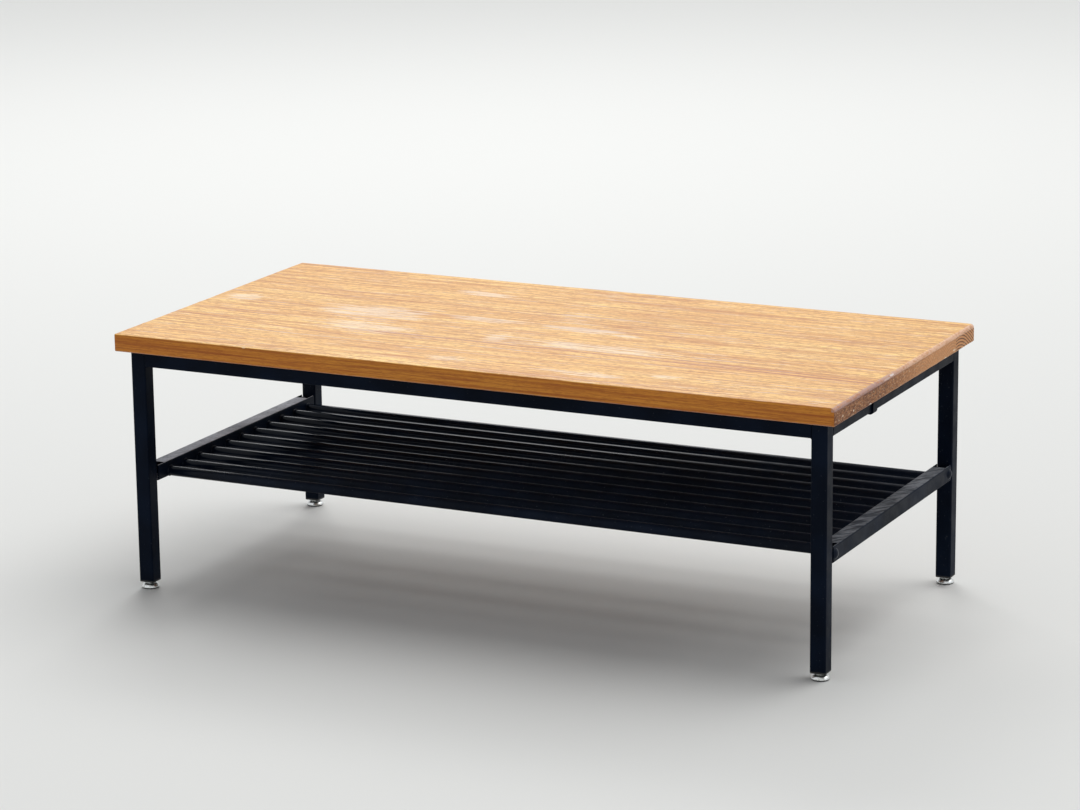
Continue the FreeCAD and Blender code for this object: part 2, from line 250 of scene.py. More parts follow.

    # The patches are hazy on top too. The underside is greyed as painted shade, and the edges are a
    # deeper brown, partly the stain they keep and partly painted shade.
    haze = add(oak, "MapRange", [bare, 0.2, 0.95, 0.0, 0.5], **smooth)
    wood = add(oak, "Mix", {0: haze, 6: wood, 7: linear(patch_haze)}, **colours)
    # Painted shade: the underside is greyed, as it lies in shade.
    shade_below = add(oak, "MapRange", [z, slab_low.z + 0.3 * mm, slab_low.z + 1.2 * mm, 0.7, 0.0], **smooth)
    wood = add(oak, "Mix", {0: shade_below, 6: wood, 7: linear(underside_painted_shade)}, **colours)
    # Painted shade with the kept stain: the sides below the top face are multiplied a deeper, darker brown.
    stain_and_shade = add(oak, "MapRange", [z, slab_high.z - 1.6 * mm, slab_high.z - 0.6 * mm, 0.9, 0.0], **smooth)
    stain_and_shade = {0: stain_and_shade, 6: wood, 7: linear(edge_stain_and_shade)}
    wood = add(oak, "Mix", stain_and_shade, blend_type="MULTIPLY", **colours)

    # The sawn ends drink more stain and hold brown dirt, most at the front, and pale grit
    along = add(oak, "Math", [x], operation="ABSOLUTE")
    on_end = add(oak, "MapRange", [along, slab_high.x - 1.6 * mm, slab_high.x - 0.4 * mm, 0.0, 1.0], **smooth)
    dirt = add(oak, "MapRange", [look["dirt"], 0.36, 0.62, 0.62, 1.0], **smooth)
    to_back = add(oak, "MapRange", [y, slab_low.y / 2, slab_high.y / 2, 0.0, 1.0], **smooth)
    dirty = add(oak, "MapRange", [to_back, 0.0, 1.0, 1.0, 0.28])
    dirt = add(oak, "Math", [dirt, dirty], operation="MULTIPLY")
    rust = add(oak, "MapRange", [look["pore"], 0.40, 0.60, 0.0, 1.0], **smooth)
    soil = add(oak, "Mix", {0: rust, 6: linear(end_dirt), 7: linear(end_rust)}, **colours)
    end_wood = add(oak, "Mix", {0: dirt, 6: linear(end_clean), 7: soil}, **colours)
    arcs = add(oak, "MapRange", [look["ring"], 0.45, 0.85, 0.0, ring_depth], **smooth)
    end_wood = add(oak, "Mix", {0: arcs, 6: end_wood, 7: linear(end_arcs)}, **colours)
    grit = add(oak, "MapRange", [look["grit"], 0.62, 0.72, 0.0, 0.7], **smooth)
    end_wood = add(oak, "Mix", {0: grit, 6: end_wood, 7: linear(end_grit)}, **colours)
    wood = add(oak, "Mix", {0: on_end, 6: wood, 7: end_wood}, **colours)

    # The big round over the right end is rubbed to a pale pinkish brown and lightened further as a
    # painted highlight, greyer at the front, with a line of painted shade under it that fades towards the
    # back, and the lower arris is a little paler too
    # Painted shade: a dark line drawn on the end just under the big round.
    band_low = slab_high.z - 0.95 * worn_round
    under = add(oak, "MapRange", [z, band_low - 4.0 * mm, band_low - 0.6 * mm, 0.0, 0.4], **smooth)
    under = add(oak, "Math", [under, on_end], operation="MULTIPLY")
    under = add(oak, "Math", [under, dirty], operation="MULTIPLY")
    wood = add(oak, "Mix", {0: under, 6: wood, 7: linear(end_shade_line)}, **colours)
    # Painted highlight together with rubbing: the big round and the lower arris are paled.
    near_top = add(oak, "MapRange", [z, band_low - 0.6 * mm, band_low + 0.6 * mm, 0.0, 0.85], **smooth)
    near_end = [x, slab_high.x - worn_round, slab_high.x - 0.6 * worn_round, 0.0, 1.0]
    near_end = add(oak, "MapRange", near_end, **smooth)
    low_edge = add(oak, "MapRange", [z, slab_low.z + 0.8 * mm, slab_low.z + 2.6 * mm, 0.5, 0.0], **smooth)
    rub_and_highlight = add(oak, "MapRange", [look["dirt"], 0.36, 0.58, 0.45, 1.0], **smooth)
    rim = add(oak, "Math", [near_top, near_end], operation="MULTIPLY")
    rim = add(oak, "Math", [rim, low_edge], operation="MAXIMUM")
    rim = add(oak, "Math", [rim, rub_and_highlight], operation="MULTIPLY")
    rub_and_highlight = add(oak, "MapRange", [to_back, 0.0, 0.6, 0.0, 1.0])
    rub_and_highlight = add(oak, "Mix", {0: rub_and_highlight, 6: linear(rubbed_and_lit_front), 7: linear(rubbed_and_lit_back)}, **colours)
    wood = add(oak, "Mix", {0: rim, 6: wood, 7: rub_and_highlight}, **colours)
    for carrier, centre, half_sizes, colour in chips:
        if carrier == name:
            inside = {"Vector": place, "Location": [mm * value for value in centre],
                      "Scale": [1.5 * mm * size for size in half_sizes]}
            inside = add(oak, "Mapping", inside, vector_type="TEXTURE")
            torn = add(oak, "TexGradient", [inside], out="Fac", gradient_type="SPHERICAL")
            torn = add(oak, "MapRange", [torn, 0.05, 0.3, 0.0, 0.9], **smooth)
            wood = add(oak, "Mix", {0: torn, 6: wood, 7: linear(colour)}, **colours)

    # Pores and dark rings lie a little lower, and worn wood and sawn ends are duller
    relief = add(oak, "Math", [look["pore"], -0.8, look["fibre"]], operation="MULTIPLY_ADD")
    relief = add(oak, "Math", [look["ring"], -0.4, relief], operation="MULTIPLY_ADD")
    relief = add(oak, "Bump", {"Height": relief, "Strength": 0.5, "Distance": 0.2 * mm})
    dull = add(oak, "Math", [bare, 0.25, 0.34], operation="MULTIPLY_ADD")
    dull = add(oak, "Math", [look["fibre"], 0.16, dull], operation="MULTIPLY_ADD")
    dull = add(oak, "Math", [on_end, 0.25, dull], operation="MULTIPLY_ADD")
    finish = {"Base Color": wood, "Roughness": dull, "Normal": relief, "IOR": 1.5,
              "Specular IOR Level": 0.3}
    add(oak, "OutputMaterial", [add(oak, "BsdfPrincipled", finish)])
    return oak


def deselect():
    """Leaves edit mode, with nothing selected."""
    if bpy.context.mode != "OBJECT":
        bpy.ops.object.mode_set(mode="OBJECT")
    bpy.ops.object.select_all(action="DESELECT")


def settle(piece):
    """Moves a piece's place, turn and size into its mesh."""
    deselect()
    piece.select_set(True)
    bpy.context.view_layer.objects.active = piece
    bpy.ops.object.transform_apply(location=True, rotation=True, scale=True)
    return piece


def choose(piece, kind, wanted):
    """Selects the vertices, edges or polygons of a piece, in edit mode, that pass a test."""
    bpy.context.view_layer.objects.active = piece
    bpy.ops.object.mode_set(mode="EDIT")
    bpy.ops.mesh.select_mode(type={"vertices": "VERT", "edges": "EDGE", "polygons": "FACE"}[kind])
    bpy.ops.mesh.select_all(action="DESELECT")
    bpy.ops.object.mode_set(mode="OBJECT")
    for part in getattr(piece.data, kind):
        part.select = wanted(part)
    bpy.ops.object.mode_set(mode="EDIT")


def cut_away(piece, cutter):
    """Cuts one piece out of another and removes it."""
    deselect()
    piece.select_set(True)
    bpy.context.view_layer.objects.active = piece
    cut = piece.modifiers.new("cut", "BOOLEAN")
    cut.object = cutter
    bpy.ops.object.modifier_apply(modifier="cut")
    bpy.data.objects.remove(cutter)


def planed_board(name):
    """One board: a block rounded over along the slab's outer edges, with worn and chipped arrises."""
    low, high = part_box(name)
    deselect()
    bpy.ops.mesh.primitive_cube_add(size=1, location=(low + high) / 2, scale=high - low)
    board = settle(bpy.context.object)
    board.name = "oak_" + name[4:]
    points = board.data.vertices
    sides = {low.y, high.y}
    outer_sides = [side for side in sides if min(side - slab_low.y, slab_high.y - side) < mm]

    def on_right_arris(edge):
        ends = [points[i].co for i in edge.vertices]
        return all(p.x > slab_high.x - mm and p.z > slab_high.z - mm for p in ends)

    def on_outside(edge):
        ends = [points[i].co for i in edge.vertices]
        at_end = all(abs(abs(p.x) - slab_high.x) < mm and min(p.z - low.z, high.z - p.z) < mm for p in ends)
        crosses = abs(ends[0].y - ends[1].y) > mm
        return at_end and crosses or any(all(abs(p.y - side) < mm for p in ends) for side in outer_sides)

    choose(board, "edges", on_right_arris)
    bpy.ops.mesh.bevel(offset=worn_round, segments=6, profile=0.5, affect="EDGES")
    choose(board, "edges", on_outside)
    bpy.ops.mesh.bevel(offset=round_over, segments=4, profile=0.5, affect="EDGES")
    for axis, cuts in ((0, cuts_along), (1, cuts_across)):
        def runs_along(edge):
            span = points[edge.vertices[0]].co - points[edge.vertices[1]].co
            return abs(span[axis]) > max(20 * mm, 0.95 * span.length)

        choose(board, "edges", runs_along)
        bpy.ops.mesh.subdivide(number_cuts=cuts)
    bpy.ops.object.mode_set(mode="OBJECT")

    # Only the rounded arrises are worn, so the faces stay flat and the boards meet
    margin = 1.02
    inset = round_over * margin

    def on_arris(p):
        at_edge = abs(p.x) > slab_high.x - inset or any(abs(p.y - side) < inset for side in outer_sides)
        on_worn_round = min(p.x - slab_high.x, p.z - slab_high.z) > -worn_round * margin
        at_joint = any(abs(p.y - side) < 0.1 * mm for side in sides.difference(outer_sides))
        return (at_edge and min(p.z - low.z, high.z - p.z) < inset or on_worn_round) and not at_joint

    arris = board.vertex_groups.new(name="arris")
    arris.add([v.index for v in points if on_arris(v.co)], 1.0, "REPLACE")
    wear = bpy.data.textures.new(board.name + "_wear", "CLOUDS")
    wear.noise_scale = wear_size
    wear.noise_depth = 3
    worn = board.modifiers.new("worn", "DISPLACE")
    worn.texture = wear
    worn.texture_coords = "LOCAL"
    worn.vertex_group = "arris"
    worn.mid_level = 1.0
    worn.strength = wear_depth
    bpy.ops.object.modifier_apply(modifier="worn")
    for carrier, centre, half_sizes, colour in chips:
        if carrier == name:
            deselect()
            bpy.ops.mesh.primitive_ico_sphere_add(subdivisions=1, radius=mm, location=Vector(centre) * mm)
            chip = bpy.context.object
            chip.scale = half_sizes
            cut_away(board, settle(chip))
    board.data.materials.clear()
    board.data.materials.append(honey_oak(name))
    bpy.ops.object.shade_smooth_by_angle(angle=math.radians(35))
    return board


for name in board_names:
    board = planed_board(name)
    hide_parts(name)
    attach(board, "root")

# The frame
# Legs and rails of 25 mm square steel tube, cut square, butted together, welded and ground flush
# outside, then powder coated as one in a satin black that leans to blue.

# What each noise draws, in mm, and its detail. Orange peel is really finer than 1.4 mm.
coat_sizes = {"cloud": (60, 4), "grime": (4, 3), "tint": (90, 3), "speck": (2.2, 1), "smear": (25, 3),
              "peel": (1.4, 1)}
wipe_size = (32 * mm, 6 * mm, 32 * mm)
wipe_turn = math.radians(54)

# Two blacks that the coat drifts between, the grey of its worn specks, and dust
coat_black = "#070E1A"
coat_blue_black = "#0C1626"
worn_speck = "#6E7276"
pale_dust = "#979BA1"


def black_powder_coat(name, dust, gloss, shine=0.04, wiped=0.5, dust_and_painted_light_colour=pale_dust, front_gloss=None):
    """Baked polyester powder: deep black with a soft sheen and a faint orange peel. Dust lies on
    what faces up, wiped off in strokes, and a few specks are worn pale. The dust's colour may be
    made paler than dust, as painted light. A coat may be duller towards the table's front right corner."""
    coat = bare_material(name)
    place = add(coat, "TexCoord", out="Object")
    look = {}
    for feature, (size, detail) in coat_sizes.items():
        look[feature] = add(coat, "TexNoise", {"Vector": place, "Scale": 1 / (size * mm), "Detail": detail})
    strokes = {"Vector": place, "Rotation": (0, 0, wipe_turn), "Scale": wipe_size}
    strokes = add(coat, "Mapping", strokes, vector_type="TEXTURE")
    look["wipe"] = add(coat, "TexNoise", {"Vector": strokes, "Scale": 1.0, "Detail": 3.0})
    upward = add(coat, "SeparateXYZ", [add(coat, "NewGeometry", out="Normal")], out="Z")
    dusty = add(coat, "MapRange", [upward, 0.72, 0.99, 0.0, dust], **smooth)
    for feature, least in (("cloud", 0.6), ("grime", 0.75), ("wipe", 1 - wiped)):
        share = add(coat, "MapRange", [look[feature], 0.36, 0.6, least, 1.0], **smooth)
        dusty = add(coat, "Math", [dusty, share], operation="MULTIPLY")
    tint = add(coat, "MapRange", [look["tint"], 0.35, 0.7, 0.0, 1.0], **smooth)
    paint = add(coat, "Mix", {0: tint, 6: linear(coat_black), 7: linear(coat_blue_black)}, **colours)
    paint = add(coat, "Mix", {0: dusty, 6: paint, 7: linear(dust_and_painted_light_colour)}, **colours)
    speck = add(coat, "MapRange", [look["speck"], 0.745, 0.77, 0.0, 0.4], **smooth)
    paint = add(coat, "Mix", {0: speck, 6: paint, 7: linear(worn_speck)}, **colours)
    dull = add(coat, "MapRange", [look["smear"], 0.3, 0.7, gloss - 0.04, gloss + 0.08], **smooth)
    if front_gloss:
        to_back = add(coat, "VectorMath", [place, (-0.65, 1, 0)], out="Value", operation="DOT_PRODUCT")
        duller = add(coat, "MapRange", [to_back, -0.1, 0.2, front_gloss - gloss, 0.0], **smooth)
        dull = add(coat, "Math", [dull, duller], operation="ADD")
    dull = add(coat, "Math", [dusty, 0.6, dull], operation="MULTIPLY_ADD")
    peel = add(coat, "Bump", {"Height": look["peel"], "Strength": 0.3, "Distance": 0.05 * mm})
    finish = {"Base Color": paint, "Roughness": dull, "Normal": peel, "Specular IOR Level": shine}
    add(coat, "OutputMaterial", [add(coat, "BsdfPrincipled", finish)])
    return coat


def dress(piece, material):
    """Gives a piece one material."""
    piece.data.materials.clear()
    piece.data.materials.append(material)


frame_coat = black_powder_coat("black_powder_coat_on_frame", dust=0.2, gloss=0.4)
corners = {"front_left": (-1, -1), "front_right": (1, -1), "rear_left": (-1, 1), "rear_right": (1, 1)}
for name in ["leg_" + corner for corner in corners] + ["rail_front", "rail_rear", "rail_left", "rail_right"]:
    dress(nodes[name], frame_coat)

# Welds of the frame
# Fillets of weld metal in the inner corners where legs and rails meet, laid as overlapping
# ripples before the coating. The outer seams are ground away, so none shows there.

bead_radius = 2.4 * mm
tab_bead_radius = 1.8 * mm
ripple = 2.2 * mm
ripple_share = 0.8
clear_of_edge = 3.5 * mm
leg_low, leg_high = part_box("leg_rear_right")
rail_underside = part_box("rail_rear")[0].z


def weld_bead(start, end, radius):
    """A run of weld between two points: a bar with a ring for each ripple, every second one drawn in."""
    run = Vector(end) - Vector(start)
    rings = 2 * max(3, round(run.length / ripple))
    deselect()
    bpy.ops.mesh.primitive_cylinder_add(vertices=12, radius=radius, depth=run.length)
    bead = bpy.context.object
    points = bead.data.vertices

    def runs_along(edge):
        return abs(points[edge.vertices[0]].co.z - points[edge.vertices[1]].co.z) > mm

    choose(bead, "edges", runs_along)
    bpy.ops.mesh.subdivide(number_cuts=rings - 1)
    choose(bead, "vertices", lambda v: round((v.co.z / run.length + 0.5) * rings) % 2 == 0)
    bpy.ops.transform.resize(value=(ripple_share, ripple_share, 1), center_override=(0, 0, 0))
    bpy.ops.object.mode_set(mode="OBJECT")
    bpy.ops.object.shade_smooth()
    bead.rotation_euler = Vector((0, 0, 1)).rotation_difference(run).to_euler()
    bead.location = (Vector(start) + Vector(end)) / 2
    return settle(bead)


def join(name, pieces):
    """Joins pieces into one."""
    deselect()
    for piece in pieces:
        piece.select_set(True)
    bpy.context.view_layer.objects.active = pieces[0]
    bpy.ops.object.join()
    bpy.context.object.name = name
    return bpy.context.object


beads = []
for corner, (side_x, side_y) in corners.items():
    x, y, z = side_x * leg_low.x, side_y * leg_low.y, rail_underside
    rail_x, rail_y = side_x * (leg_high.x - clear_of_edge), side_y * (leg_high.y - clear_of_edge)
    beads.append(weld_bead((x, y, z + clear_of_edge), (x, y, leg_high.z - clear_of_edge), bead_radius))
    beads.append(weld_bead((x, y + side_y * clear_of_edge, z), (x, rail_y, z), bead_radius))
    beads.append(weld_bead((x + side_x * clear_of_edge, y, z), (rail_x, y, z), bead_radius))
frame_welds = join("frame_welds", beads)
weld_coat = black_powder_coat("black_powder_coat_on_welds", dust=0.33, gloss=0.3, shine=0.1)
dress(frame_welds, weld_coat)
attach(frame_welds, "root")

# Straps and tabs under the top
# Two bent flat bars hook round the end rails, and four flat tabs are welded inside the long
# rails. Each has one hole, for the wood screw that holds the top down.

for name in ["top_strap_left", "top_strap_right"] + ["top_tab_" + corner for corner in corners]:
    dress(nodes[name], frame_coat)
beads = []
for corner, (side_x, side_y) in corners.items():
    low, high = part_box("top_tab_" + corner)
    root_y = high.y if side_y > 0 else low.y
    bead_ends = [(low.x + clear_of_edge, root_y, low.z), (high.x - clear_of_edge, root_y, low.z)]
    beads.append(weld_bead(*bead_ends, tab_bead_radius))
tab_welds = join("top_tab_welds", beads)
dress(tab_welds, weld_coat)
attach(tab_welds, "root")

# Wood screws
# Pan-head screws of zinc-plated steel with a pressed cross recess, driven up into the boards
# through the tabs and the straps.

screw_low, screw_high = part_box("top_tab_screws")
head_radius = 4.5 * mm
head_height = 3.0 * mm
head_rounding = 1.9 * mm
shank_radius = 2.2 * mm
point_length = 5.0 * mm
recess_size = (4.6 * mm, 0.9 * mm, 3.0 * mm)
recess_turns = (20, 110)
point_share = 0.08
turn_between_screws = 0.7


def bright_zinc():
    """Steel with a thin bright zinc plate: like a mirror gone a little milky, with duller stains."""
    zinc = bare_material("bright_zinc_plate")
    place = add(zinc, "TexCoord", out="Object")
    cloud = add(zinc, "TexNoise", {"Vector": place, "Scale": 1 / (3 * mm), "Detail": 3.0})
    stain = add(zinc, "MapRange", [cloud, 0.35, 0.7, 0.0, 1.0], **smooth)
    colour = add(zinc, "Mix", {0: stain, 6: linear("#E2E4E4"), 7: linear("#BDBCB5")}, **colours)
    dull = add(zinc, "MapRange", [cloud, 0.3, 0.7, 0.22, 0.42])
    relief = add(zinc, "Bump", {"Height": cloud, "Strength": 0.15, "Distance": 0.05 * mm})
    finish = {"Base Color": colour, "Roughness": dull, "Normal": relief, "Metallic": 1.0}
    add(zinc, "OutputMaterial", [add(zinc, "BsdfPrincipled", finish)])
    return zinc


def pan_head_screw():
    """A screw that points up from a head whose flat side is at z = 0."""
    deselect()
    bpy.ops.mesh.primitive_cylinder_add(vertices=32, radius=head_radius, depth=head_height,
                                        location=(0, 0, -head_height / 2))
    screw = settle(bpy.context.object)
    points = screw.data.vertices
    choose(screw, "edges", lambda edge: all(points[i].co.z < -head_height / 2 for i in edge.vertices))
    bpy.ops.mesh.bevel(offset=head_rounding, segments=5, profile=0.6, affect="EDGES")
    choose(screw, "polygons", lambda face: face.normal.z > 0.9)
    bpy.ops.mesh.inset(thickness=head_radius - shank_radius, depth=0)
    shank_length = screw_high.z - screw_low.z - head_height - point_length
    for length in (shank_length, point_length):
        bpy.ops.mesh.extrude_region_move(TRANSFORM_OT_translate={"value": (0, 0, length)})
    bpy.ops.transform.resize(value=(point_share, point_share, 1), center_override=(0, 0, 0))
    for turn in recess_turns:
        deselect()
        bpy.ops.mesh.primitive_cube_add(size=1, location=(0, 0, -head_height), scale=recess_size,
                                        rotation=(0, 0, math.radians(turn)))
        cut_away(screw, settle(bpy.context.object))
    bpy.ops.object.shade_smooth_by_angle(angle=math.radians(35))
    return screw


def copy_to(piece, place, turn=0.0):
    """A copy of a piece with its own mesh, turned about Z and moved."""
    twin = piece.copy()
    twin.data = piece.data.copy()
    bpy.context.scene.collection.objects.link(twin)
    twin.location = place
    twin.rotation_euler = (0, 0, turn)
    return settle(twin)


def middle(node):
    """The middle of a CAD node's box."""
    low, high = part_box(node)
    return (low + high) / 2


zinc = bright_zinc()
screw = pan_head_screw()
strap_screw_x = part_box("top_strap_screws")[1].x - head_radius
strap_y = middle("top_strap_left").y
tab_screw_places = [middle("top_tab_" + corner) for corner in corners]
strap_screw_places = [(-strap_screw_x, strap_y), (strap_screw_x, -strap_y)]
for row, places in (("top_tab_screws", tab_screw_places), ("top_strap_screws", strap_screw_places)):
    seat_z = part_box(row)[0].z + head_height
    screws = [copy_to(screw, (place[0], place[1], seat_z), i * turn_between_screws)
              for i, place in enumerate(places)]
    screws = join("zinc_" + row, screws)
    dress(screws, zinc)
    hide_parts(row)
    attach(screws, "root")
bpy.data.objects.remove(screw)

# The shelf
# Eleven round steel tubes welded between two square ones, coated like the frame. Dust lies on
# the flat top walls, thick on the left and wiped off in strokes on the right. On the left the dust
# is painted paler, as painted light on a wall that lies in shade. The round tubes shine along
# their crowns at the back and the left, and are dulled towards the front right.

# Painted light: the left end's dust is given a paler colour than dust, to light its shaded top wall.
left_coat_dust_and_painted_light = black_powder_coat("black_powder_coat_and_painted_light_left_shelf_end", dust=1.0, gloss=0.4, wiped=0.2,
                              dust_and_painted_light_colour="#C0C2C9")
right_coat = black_powder_coat("black_powder_coat_right_shelf_end", dust=0.66, gloss=0.4, wiped=0.95)
rod_coat = black_powder_coat("black_powder_coat_on_shelf_rods", dust=0.0, gloss=0.10, shine=0.11,
                             front_gloss=0.65)
rod_names = ["shelf_rod_%02d" % number for number in range(1, 12)]
dress(nodes["shelf_tube_left"], left_coat_dust_and_painted_light)
dress(nodes["shelf_tube_right"], right_coat)
for name in rod_names:
    dress(nodes[name], rod_coat)
for corner in corners:
    dress(nodes["shelf_tab_" + corner], frame_coat)

# A ring of weld round each end of each round tube, dressed flat below
rod_low, rod_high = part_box(rod_names[0])
rod_radius = (rod_high.z - rod_low.z) / 2
ring_radius = rod_radius - 0.2 * mm
ring_thickness = 1.7 * mm
ring_ripples = 18
ripple_depth = 0.45 * mm
deselect()
bpy.ops.mesh.primitive_torus_add(major_radius=ring_radius, minor_radius=ring_thickness,
                                 major_segments=2 * ring_ripples, minor_segments=8)
ring = bpy.context.object
choose(ring, "vertices", lambda v: round(math.atan2(v.co.y, v.co.x) / math.pi * ring_ripples) % 2 == 0)
bpy.ops.transform.shrink_fatten(value=-ripple_depth)
bpy.ops.object.mode_set(mode="OBJECT")
ring.rotation_euler = (0, math.pi / 2, 0)
settle(ring)
choose(ring, "polygons", lambda face: True)
bpy.ops.mesh.bisect(plane_co=(0, 0, -rod_radius), plane_no=(0, 0, -1), use_fill=True, clear_outer=True)
bpy.ops.object.mode_set(mode="OBJECT")
bpy.ops.object.shade_smooth_by_angle(angle=math.radians(60))
rings = []
for name in rod_names:
    low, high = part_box(name)
    for end_x in (low.x, high.x):
        rings.append(copy_to(ring, (end_x, middle(name).y, middle(name).z)))
bpy.data.objects.remove(ring)
shelf_welds = join("shelf_rod_welds", rings)
dress(shelf_welds, weld_coat)
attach(shelf_welds, "root")

# Coach bolts and nuts of the shelf
# Domed M6 bolts through the end tubes and the tabs of the legs, painted black with the frame,
# and their nuts inside the tubes.

bolt_paint = black_powder_coat("black_paint_on_bolts", dust=0.25, gloss=0.28, shine=0.1)
for name in ("shelf_bolts", "shelf_nuts"):
    dress(nodes[name], bolt_paint)

# Leg inserts and pads of the feet
# Square plugs of moulded polypropylene close the legs and take the studs, and a pad of the
# same plastic stands under each foot.


def black_polypropylene():
    """Moulded plastic: a soft even black with a fine sparked grain, greyed in places by grit."""
    plastic = bare_material("black_moulded_polypropylene")
    place = add(plastic, "TexCoord", out="Object")
    grain = add(plastic, "TexNoise", {"Vector": place, "Scale": 1 / (0.8 * mm), "Detail": 2.0})
    dirt = add(plastic, "TexNoise", {"Vector": place, "Scale": 1 / (6 * mm), "Detail": 4.0})
    dirt = add(plastic, "MapRange", [dirt, 0.45, 0.75, 0.0, 0.35])
    colour = add(plastic, "Mix", {0: dirt, 6: linear("#0F1012"), 7: linear("#4A4843")}, **colours)
    relief = add(plastic, "Bump", {"Height": grain, "Strength": 0.3, "Distance": 0.08 * mm})
    finish = {"Base Color": colour, "Roughness": 0.55, "Normal": relief, "IOR": 1.49}
    add(plastic, "OutputMaterial", [add(plastic, "BsdfPrincipled", finish)])
    return plastic


plastic = black_polypropylene()
for corner in corners:
    dress(nodes["leg_insert_" + corner], plastic)
    dress(nodes["foot_pad_" + corner], plastic)

# Cups of the feet
# A dish of thin steel over each pad, pressed to a flat crown, a rounded shoulder and a short
# upright rim, and zinc plated.

cup_low, cup_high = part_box("foot_cup_front_left")
cup_radius = (cup_high.x - cup_low.x) / 2
cup_height = cup_high.z - cup_low.z
cup_wall = 1.2 * mm
hole_radius = 4.3 * mm
cup_outline_shares = ((0.58, 1.0), (0.75, 0.86), (0.87, 0.61), (0.95, 0.37), (1.0, 0.2), (1.0, 0.0))
deselect()
bpy.ops.mesh.primitive_circle_add(vertices=48, radius=hole_radius, location=(0, 0, cup_high.z))
cup = settle(bpy.context.object)
choose(cup, "edges", lambda edge: True)
last_radius, last_z = hole_radius, cup_high.z
for radius_share, height_share in cup_outline_shares:
    radius, z = radius_share * cup_radius, cup_low.z + height_share * cup_height
    bpy.ops.mesh.extrude_region_move(TRANSFORM_OT_translate={"value": (0, 0, z - last_z)})
    bpy.ops.transform.resize(value=(radius / last_radius, radius / last_radius, 1), center_override=(0, 0, z))
    last_radius, last_z = radius, z
bpy.ops.mesh.select_all(action="SELECT")
bpy.ops.mesh.normals_make_consistent(inside=False)
bpy.ops.object.mode_set(mode="OBJECT")
thickness = cup.modifiers.new("wall", "SOLIDIFY")
thickness.thickness = cup_wall
thickness.offset = -1
rounding = cup.modifiers.new("rounding", "BEVEL")
rounding.width = 0.35 * mm
rounding.segments = 3
rounding.angle_limit = math.radians(50)
for modifier in ("wall", "rounding"):
    bpy.ops.object.modifier_apply(modifier=modifier)
bpy.ops.object.shade_smooth_by_angle(angle=math.radians(40))
dress(cup, zinc)
for corner in corners:
    place = middle("foot_cup_" + corner)
    pressed_cup = copy_to(cup, (place.x, place.y, 0))
    pressed_cup.name = "pressed_foot_cup_" + corner
    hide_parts("foot_cup_" + corner)
    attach(pressed_cup, "foot_pad_body_" + corner)
bpy.data.objects.remove(cup)

# Studs of the feet
# M8 threaded rods of zinc-plated steel. Each has a spanner hexagon over the cup, and below it
# a neck and a collar that hold it in the cup and let it turn.

stud_low, stud_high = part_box("foot_stud_front_left")
stud_radius = 4.0 * mm
thread_pitch = 1.25 * mm
thread_depth = 0.68 * mm
core_radius = stud_radius - thread_depth
collar_radius = 5.5 * mm
collar_height = 1.6 * mm
seat_gap = 0.15 * mm
hexagon_radius = (stud_high.x - stud_low.x) / 2
hexagon_low = cup_high.z + seat_gap
hexagon_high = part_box("leg_insert_front_left")[0].z - seat_gap
deselect()
bpy.ops.mesh.primitive_cylinder_add(vertices=40, radius=collar_radius, depth=collar_height,
                                    location=(0, 0, stud_low.z + collar_height / 2))
stem = settle(bpy.context.object)
choose(stem, "polygons", lambda face: face.normal.z > 0.9)
neck_and_core = ((stud_radius, hexagon_low), (core_radius, stud_high.z))
last_radius, last_z = collar_radius, stud_low.z + collar_height
for radius, z in neck_and_core:
    bpy.ops.mesh.inset(thickness=last_radius - radius, depth=0)
    bpy.ops.mesh.extrude_region_move(TRANSFORM_OT_translate={"value": (0, 0, z - last_z)})
    last_radius, last_z = radius, z
deselect()
bpy.ops.mesh.primitive_cylinder_add(vertices=6, radius=hexagon_radius, depth=hexagon_high - hexagon_low,
                                    location=(0, 0, (hexagon_low + hexagon_high) / 2),
                                    rotation=(0, 0, math.radians(30)))
hexagon = settle(bpy.context.object)
choose(hexagon, "edges", lambda edge: True)
bpy.ops.mesh.bevel(offset=0.25 * mm, segments=2, affect="EDGES")

# The ridge of the thread, wound up the stud from just over the hexagon and drawn in at its crest
crest_share = 0.15
ridge_x = stud_radius - thread_depth / 2
ridge_z = hexagon_high + thread_pitch / 2
deselect()
bpy.ops.mesh.primitive_plane_add(size=1, rotation=(math.pi / 2, 0, 0), location=(ridge_x, 0, ridge_z))
thread = bpy.context.object
thread.scale = (thread_depth, thread_pitch, 1)
settle(thread)
choose(thread, "vertices", lambda v: v.co.x > ridge_x)
bpy.ops.transform.resize(value=(1, 1, crest_share), center_override=(0, 0, ridge_z))
bpy.ops.object.mode_set(mode="OBJECT")
winding = thread.modifiers.new("winding", "SCREW")
winding.screw_offset = thread_pitch
winding.iterations = int((stud_high.z - hexagon_high) / thread_pitch) - 1
winding.steps = 24
winding.render_steps = 24
bpy.ops.object.modifier_apply(modifier="winding")
choose(thread, "polygons", lambda face: True)
bpy.ops.mesh.fill_holes(sides=4)
bpy.ops.mesh.select_all(action="SELECT")
bpy.ops.mesh.normals_make_consistent(inside=False)
bpy.ops.object.mode_set(mode="OBJECT")
stud = join("stud", [stem, hexagon, thread])
bpy.ops.object.shade_smooth_by_angle(angle=math.radians(35))
dress(stud, zinc)
for corner in corners:
    place = middle("foot_stud_" + corner)
    threaded_stud = copy_to(stud, (place.x, place.y, 0))
    threaded_stud.name = "threaded_foot_stud_" + corner
    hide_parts("foot_stud_" + corner)
    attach(threaded_stud, "foot_stud_body_" + corner)
bpy.data.objects.remove(stud)

# Floor, light and camera
# A plain pale floor under even daylight, one broad soft light from above and a panel behind,
# seen from where the photograph was taken.

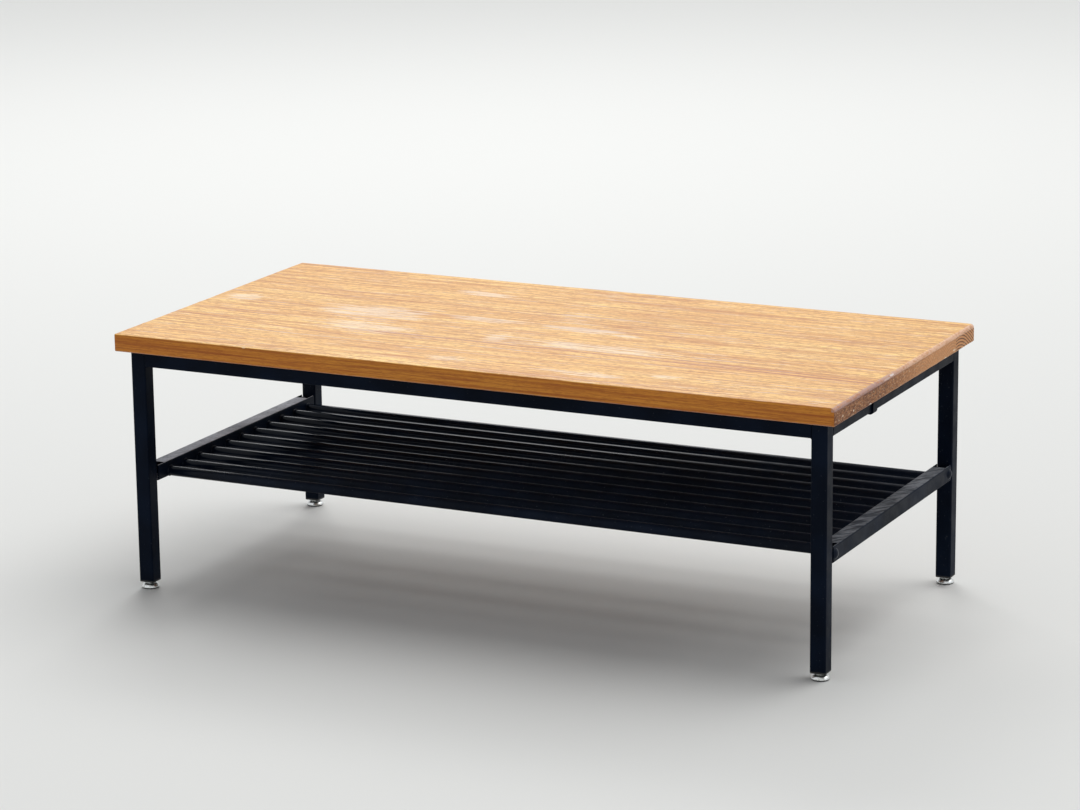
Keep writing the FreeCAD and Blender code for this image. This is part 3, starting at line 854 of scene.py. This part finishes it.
deselect()
bpy.ops.mesh.primitive_plane_add(size=200, location=(0, 0, 0))
floor = bpy.context.object
floor.name = "floor"
floor_paint = bare_material("pale_matt_floor")
matt = {"Base Color": linear("#DEDEDB"), "Roughness": 0.9, "Specular IOR Level": 0.2}
add(floor_paint, "OutputMaterial", [add(floor_paint, "BsdfPrincipled", matt)])
dress(floor, floor_paint)
floor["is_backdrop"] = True

world = bpy.data.worlds.new("studio")
bpy.context.scene.world = world
world.use_nodes = True
world.node_tree.nodes.clear()
ray = add(world, "LightPath").node.outputs
backdrop = add(world, "Math", [ray["Is Camera Ray"], ray["Is Glossy Ray"]], operation="MAXIMUM")
backdrop = add(world, "Math", [backdrop, ray["Is Transmission Ray"]], operation="MAXIMUM")
strength = add(world, "MapRange", [backdrop, 0.0, 1.0, 0.45, 0.95])
add(world, "OutputWorld", [add(world, "Background", [linear("#F4F7FB"), strength])])

sun_angle = math.radians(60)
sun_way = Vector((-0.35, -0.8, -1.7))
overhead = bpy.data.lights.new("broad_soft_light", "SUN")
overhead.energy = 1.8
overhead.angle = sun_angle
holder = bpy.data.objects.new("broad_soft_light", overhead)
holder.rotation_euler = sun_way.to_track_quat("-Z", "Y").to_euler()
bpy.context.scene.collection.objects.link(holder)

# A panel high behind the table, which draws the bright lines along the round tubes
panel_place = Vector((-2.5, 4.3, 4.2))
panel_aim = Vector((0, 0, 0.2))
panel = bpy.data.lights.new("rear_softbox", "AREA")
panel.shape = "RECTANGLE"
panel.size = 2.8
panel.size_y = 1.6
panel.energy = 92
panel_holder = bpy.data.objects.new("rear_softbox", panel)
panel_holder.location = panel_place
panel_holder.rotation_euler = (panel_aim - panel_place).to_track_quat("-Z", "Y").to_euler()
bpy.context.scene.collection.objects.link(panel_holder)

camera_place = Vector((2.4307, -4.9585, 1.6713))
camera_turn = 0.4572
camera_drop = 0.2446
camera_roll = -0.012
focal_pixels = 3645.5
photo_width = 1080
lens = bpy.data.cameras.new("photo_camera")
lens.sensor_width = 36
lens.lens = focal_pixels / photo_width * lens.sensor_width
lens.clip_end = 200
camera = bpy.data.objects.new("photo_camera", lens)
bpy.context.scene.collection.objects.link(camera)
looking = Euler((math.pi / 2 - camera_drop, 0, camera_turn)).to_matrix()
looking = looking @ Matrix.Rotation(camera_roll, 3, "Z")
camera.location = camera_place
camera.rotation_euler = looking.to_euler()
bpy.context.scene.camera = camera
bpy.context.scene.view_settings.view_transform = "Standard"

low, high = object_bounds()
